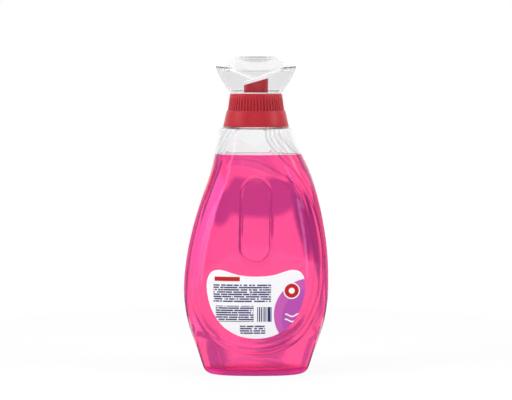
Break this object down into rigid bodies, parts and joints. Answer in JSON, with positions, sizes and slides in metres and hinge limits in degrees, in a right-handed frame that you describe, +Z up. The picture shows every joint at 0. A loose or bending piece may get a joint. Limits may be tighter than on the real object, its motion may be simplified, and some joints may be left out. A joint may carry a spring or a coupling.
{
  "type": "laundry detergent bottle",
  "caption": "Clear lopsided oval liquid laundry detergent bottle with its filling, sunk leaf-shaped panels, a label, a screw-on ribbed pouring collar and a clear flared dosing cap.",
  "frame": {"origin": "middle of the base on the standing plane, under the axis of the neck", "axes": "+Z up along the neck's axis, +X to the right of someone who faces the label, the label faces -Y"},
  "size_m": [0.1284, 0.0679, 0.2791],
  "materials": {
    "bottle_plastic": "clear blown plastic, glossy",
    "liquid": "clear pink liquid",
    "label_film": "printed film, satin",
    "seal_foam": "closed-cell foam, matt",
    "collar_plastic": "moulded plastic, semi-gloss",
    "cap_plastic": "clear moulded plastic, glossy"
  },
  "bodies": {
    "bottle": {"bottle": "bottle_plastic", "detergent": "liquid", "back_label": "label_film"},
    "neck_seal": {"neck_seal": "seal_foam"},
    "collar": {"pour_spout_collar": "collar_plastic"},
    "cap_seal": {"cap_seal": "seal_foam"},
    "cap": {"dosing_cap_bowl": "cap_plastic", "dosing_cap_lid": "cap_plastic"}
  },
  "joints": [
    {"name": "collar_lift", "type": "slide", "parent": "bottle", "child": "neck_seal", "axis": [0, 0, 1], "range_m": [0, 0.0062]},
    {"name": "collar_twist", "type": "hinge", "parent": "neck_seal", "child": "collar", "pos_m": [0, 0, 0.2325], "axis": [0, 0, 1], "range_deg": [0, 540]},
    {"name": "cap_lift", "type": "slide", "parent": "collar", "child": "cap_seal", "axis": [0, 0, 1], "range_m": [0, 0.0062]},
    {"name": "cap_twist", "type": "hinge", "parent": "cap_seal", "child": "cap", "pos_m": [0, 0, 0.2477], "axis": [0, 0, 1], "range_deg": [0, 540]}
  ],
  "couplings": [
    {"joint": "collar_lift", "follows": "collar_twist", "m_per_rad": 0.00063662},
    {"joint": "cap_lift", "follows": "cap_twist", "m_per_rad": 0.00063662}
  ]
}
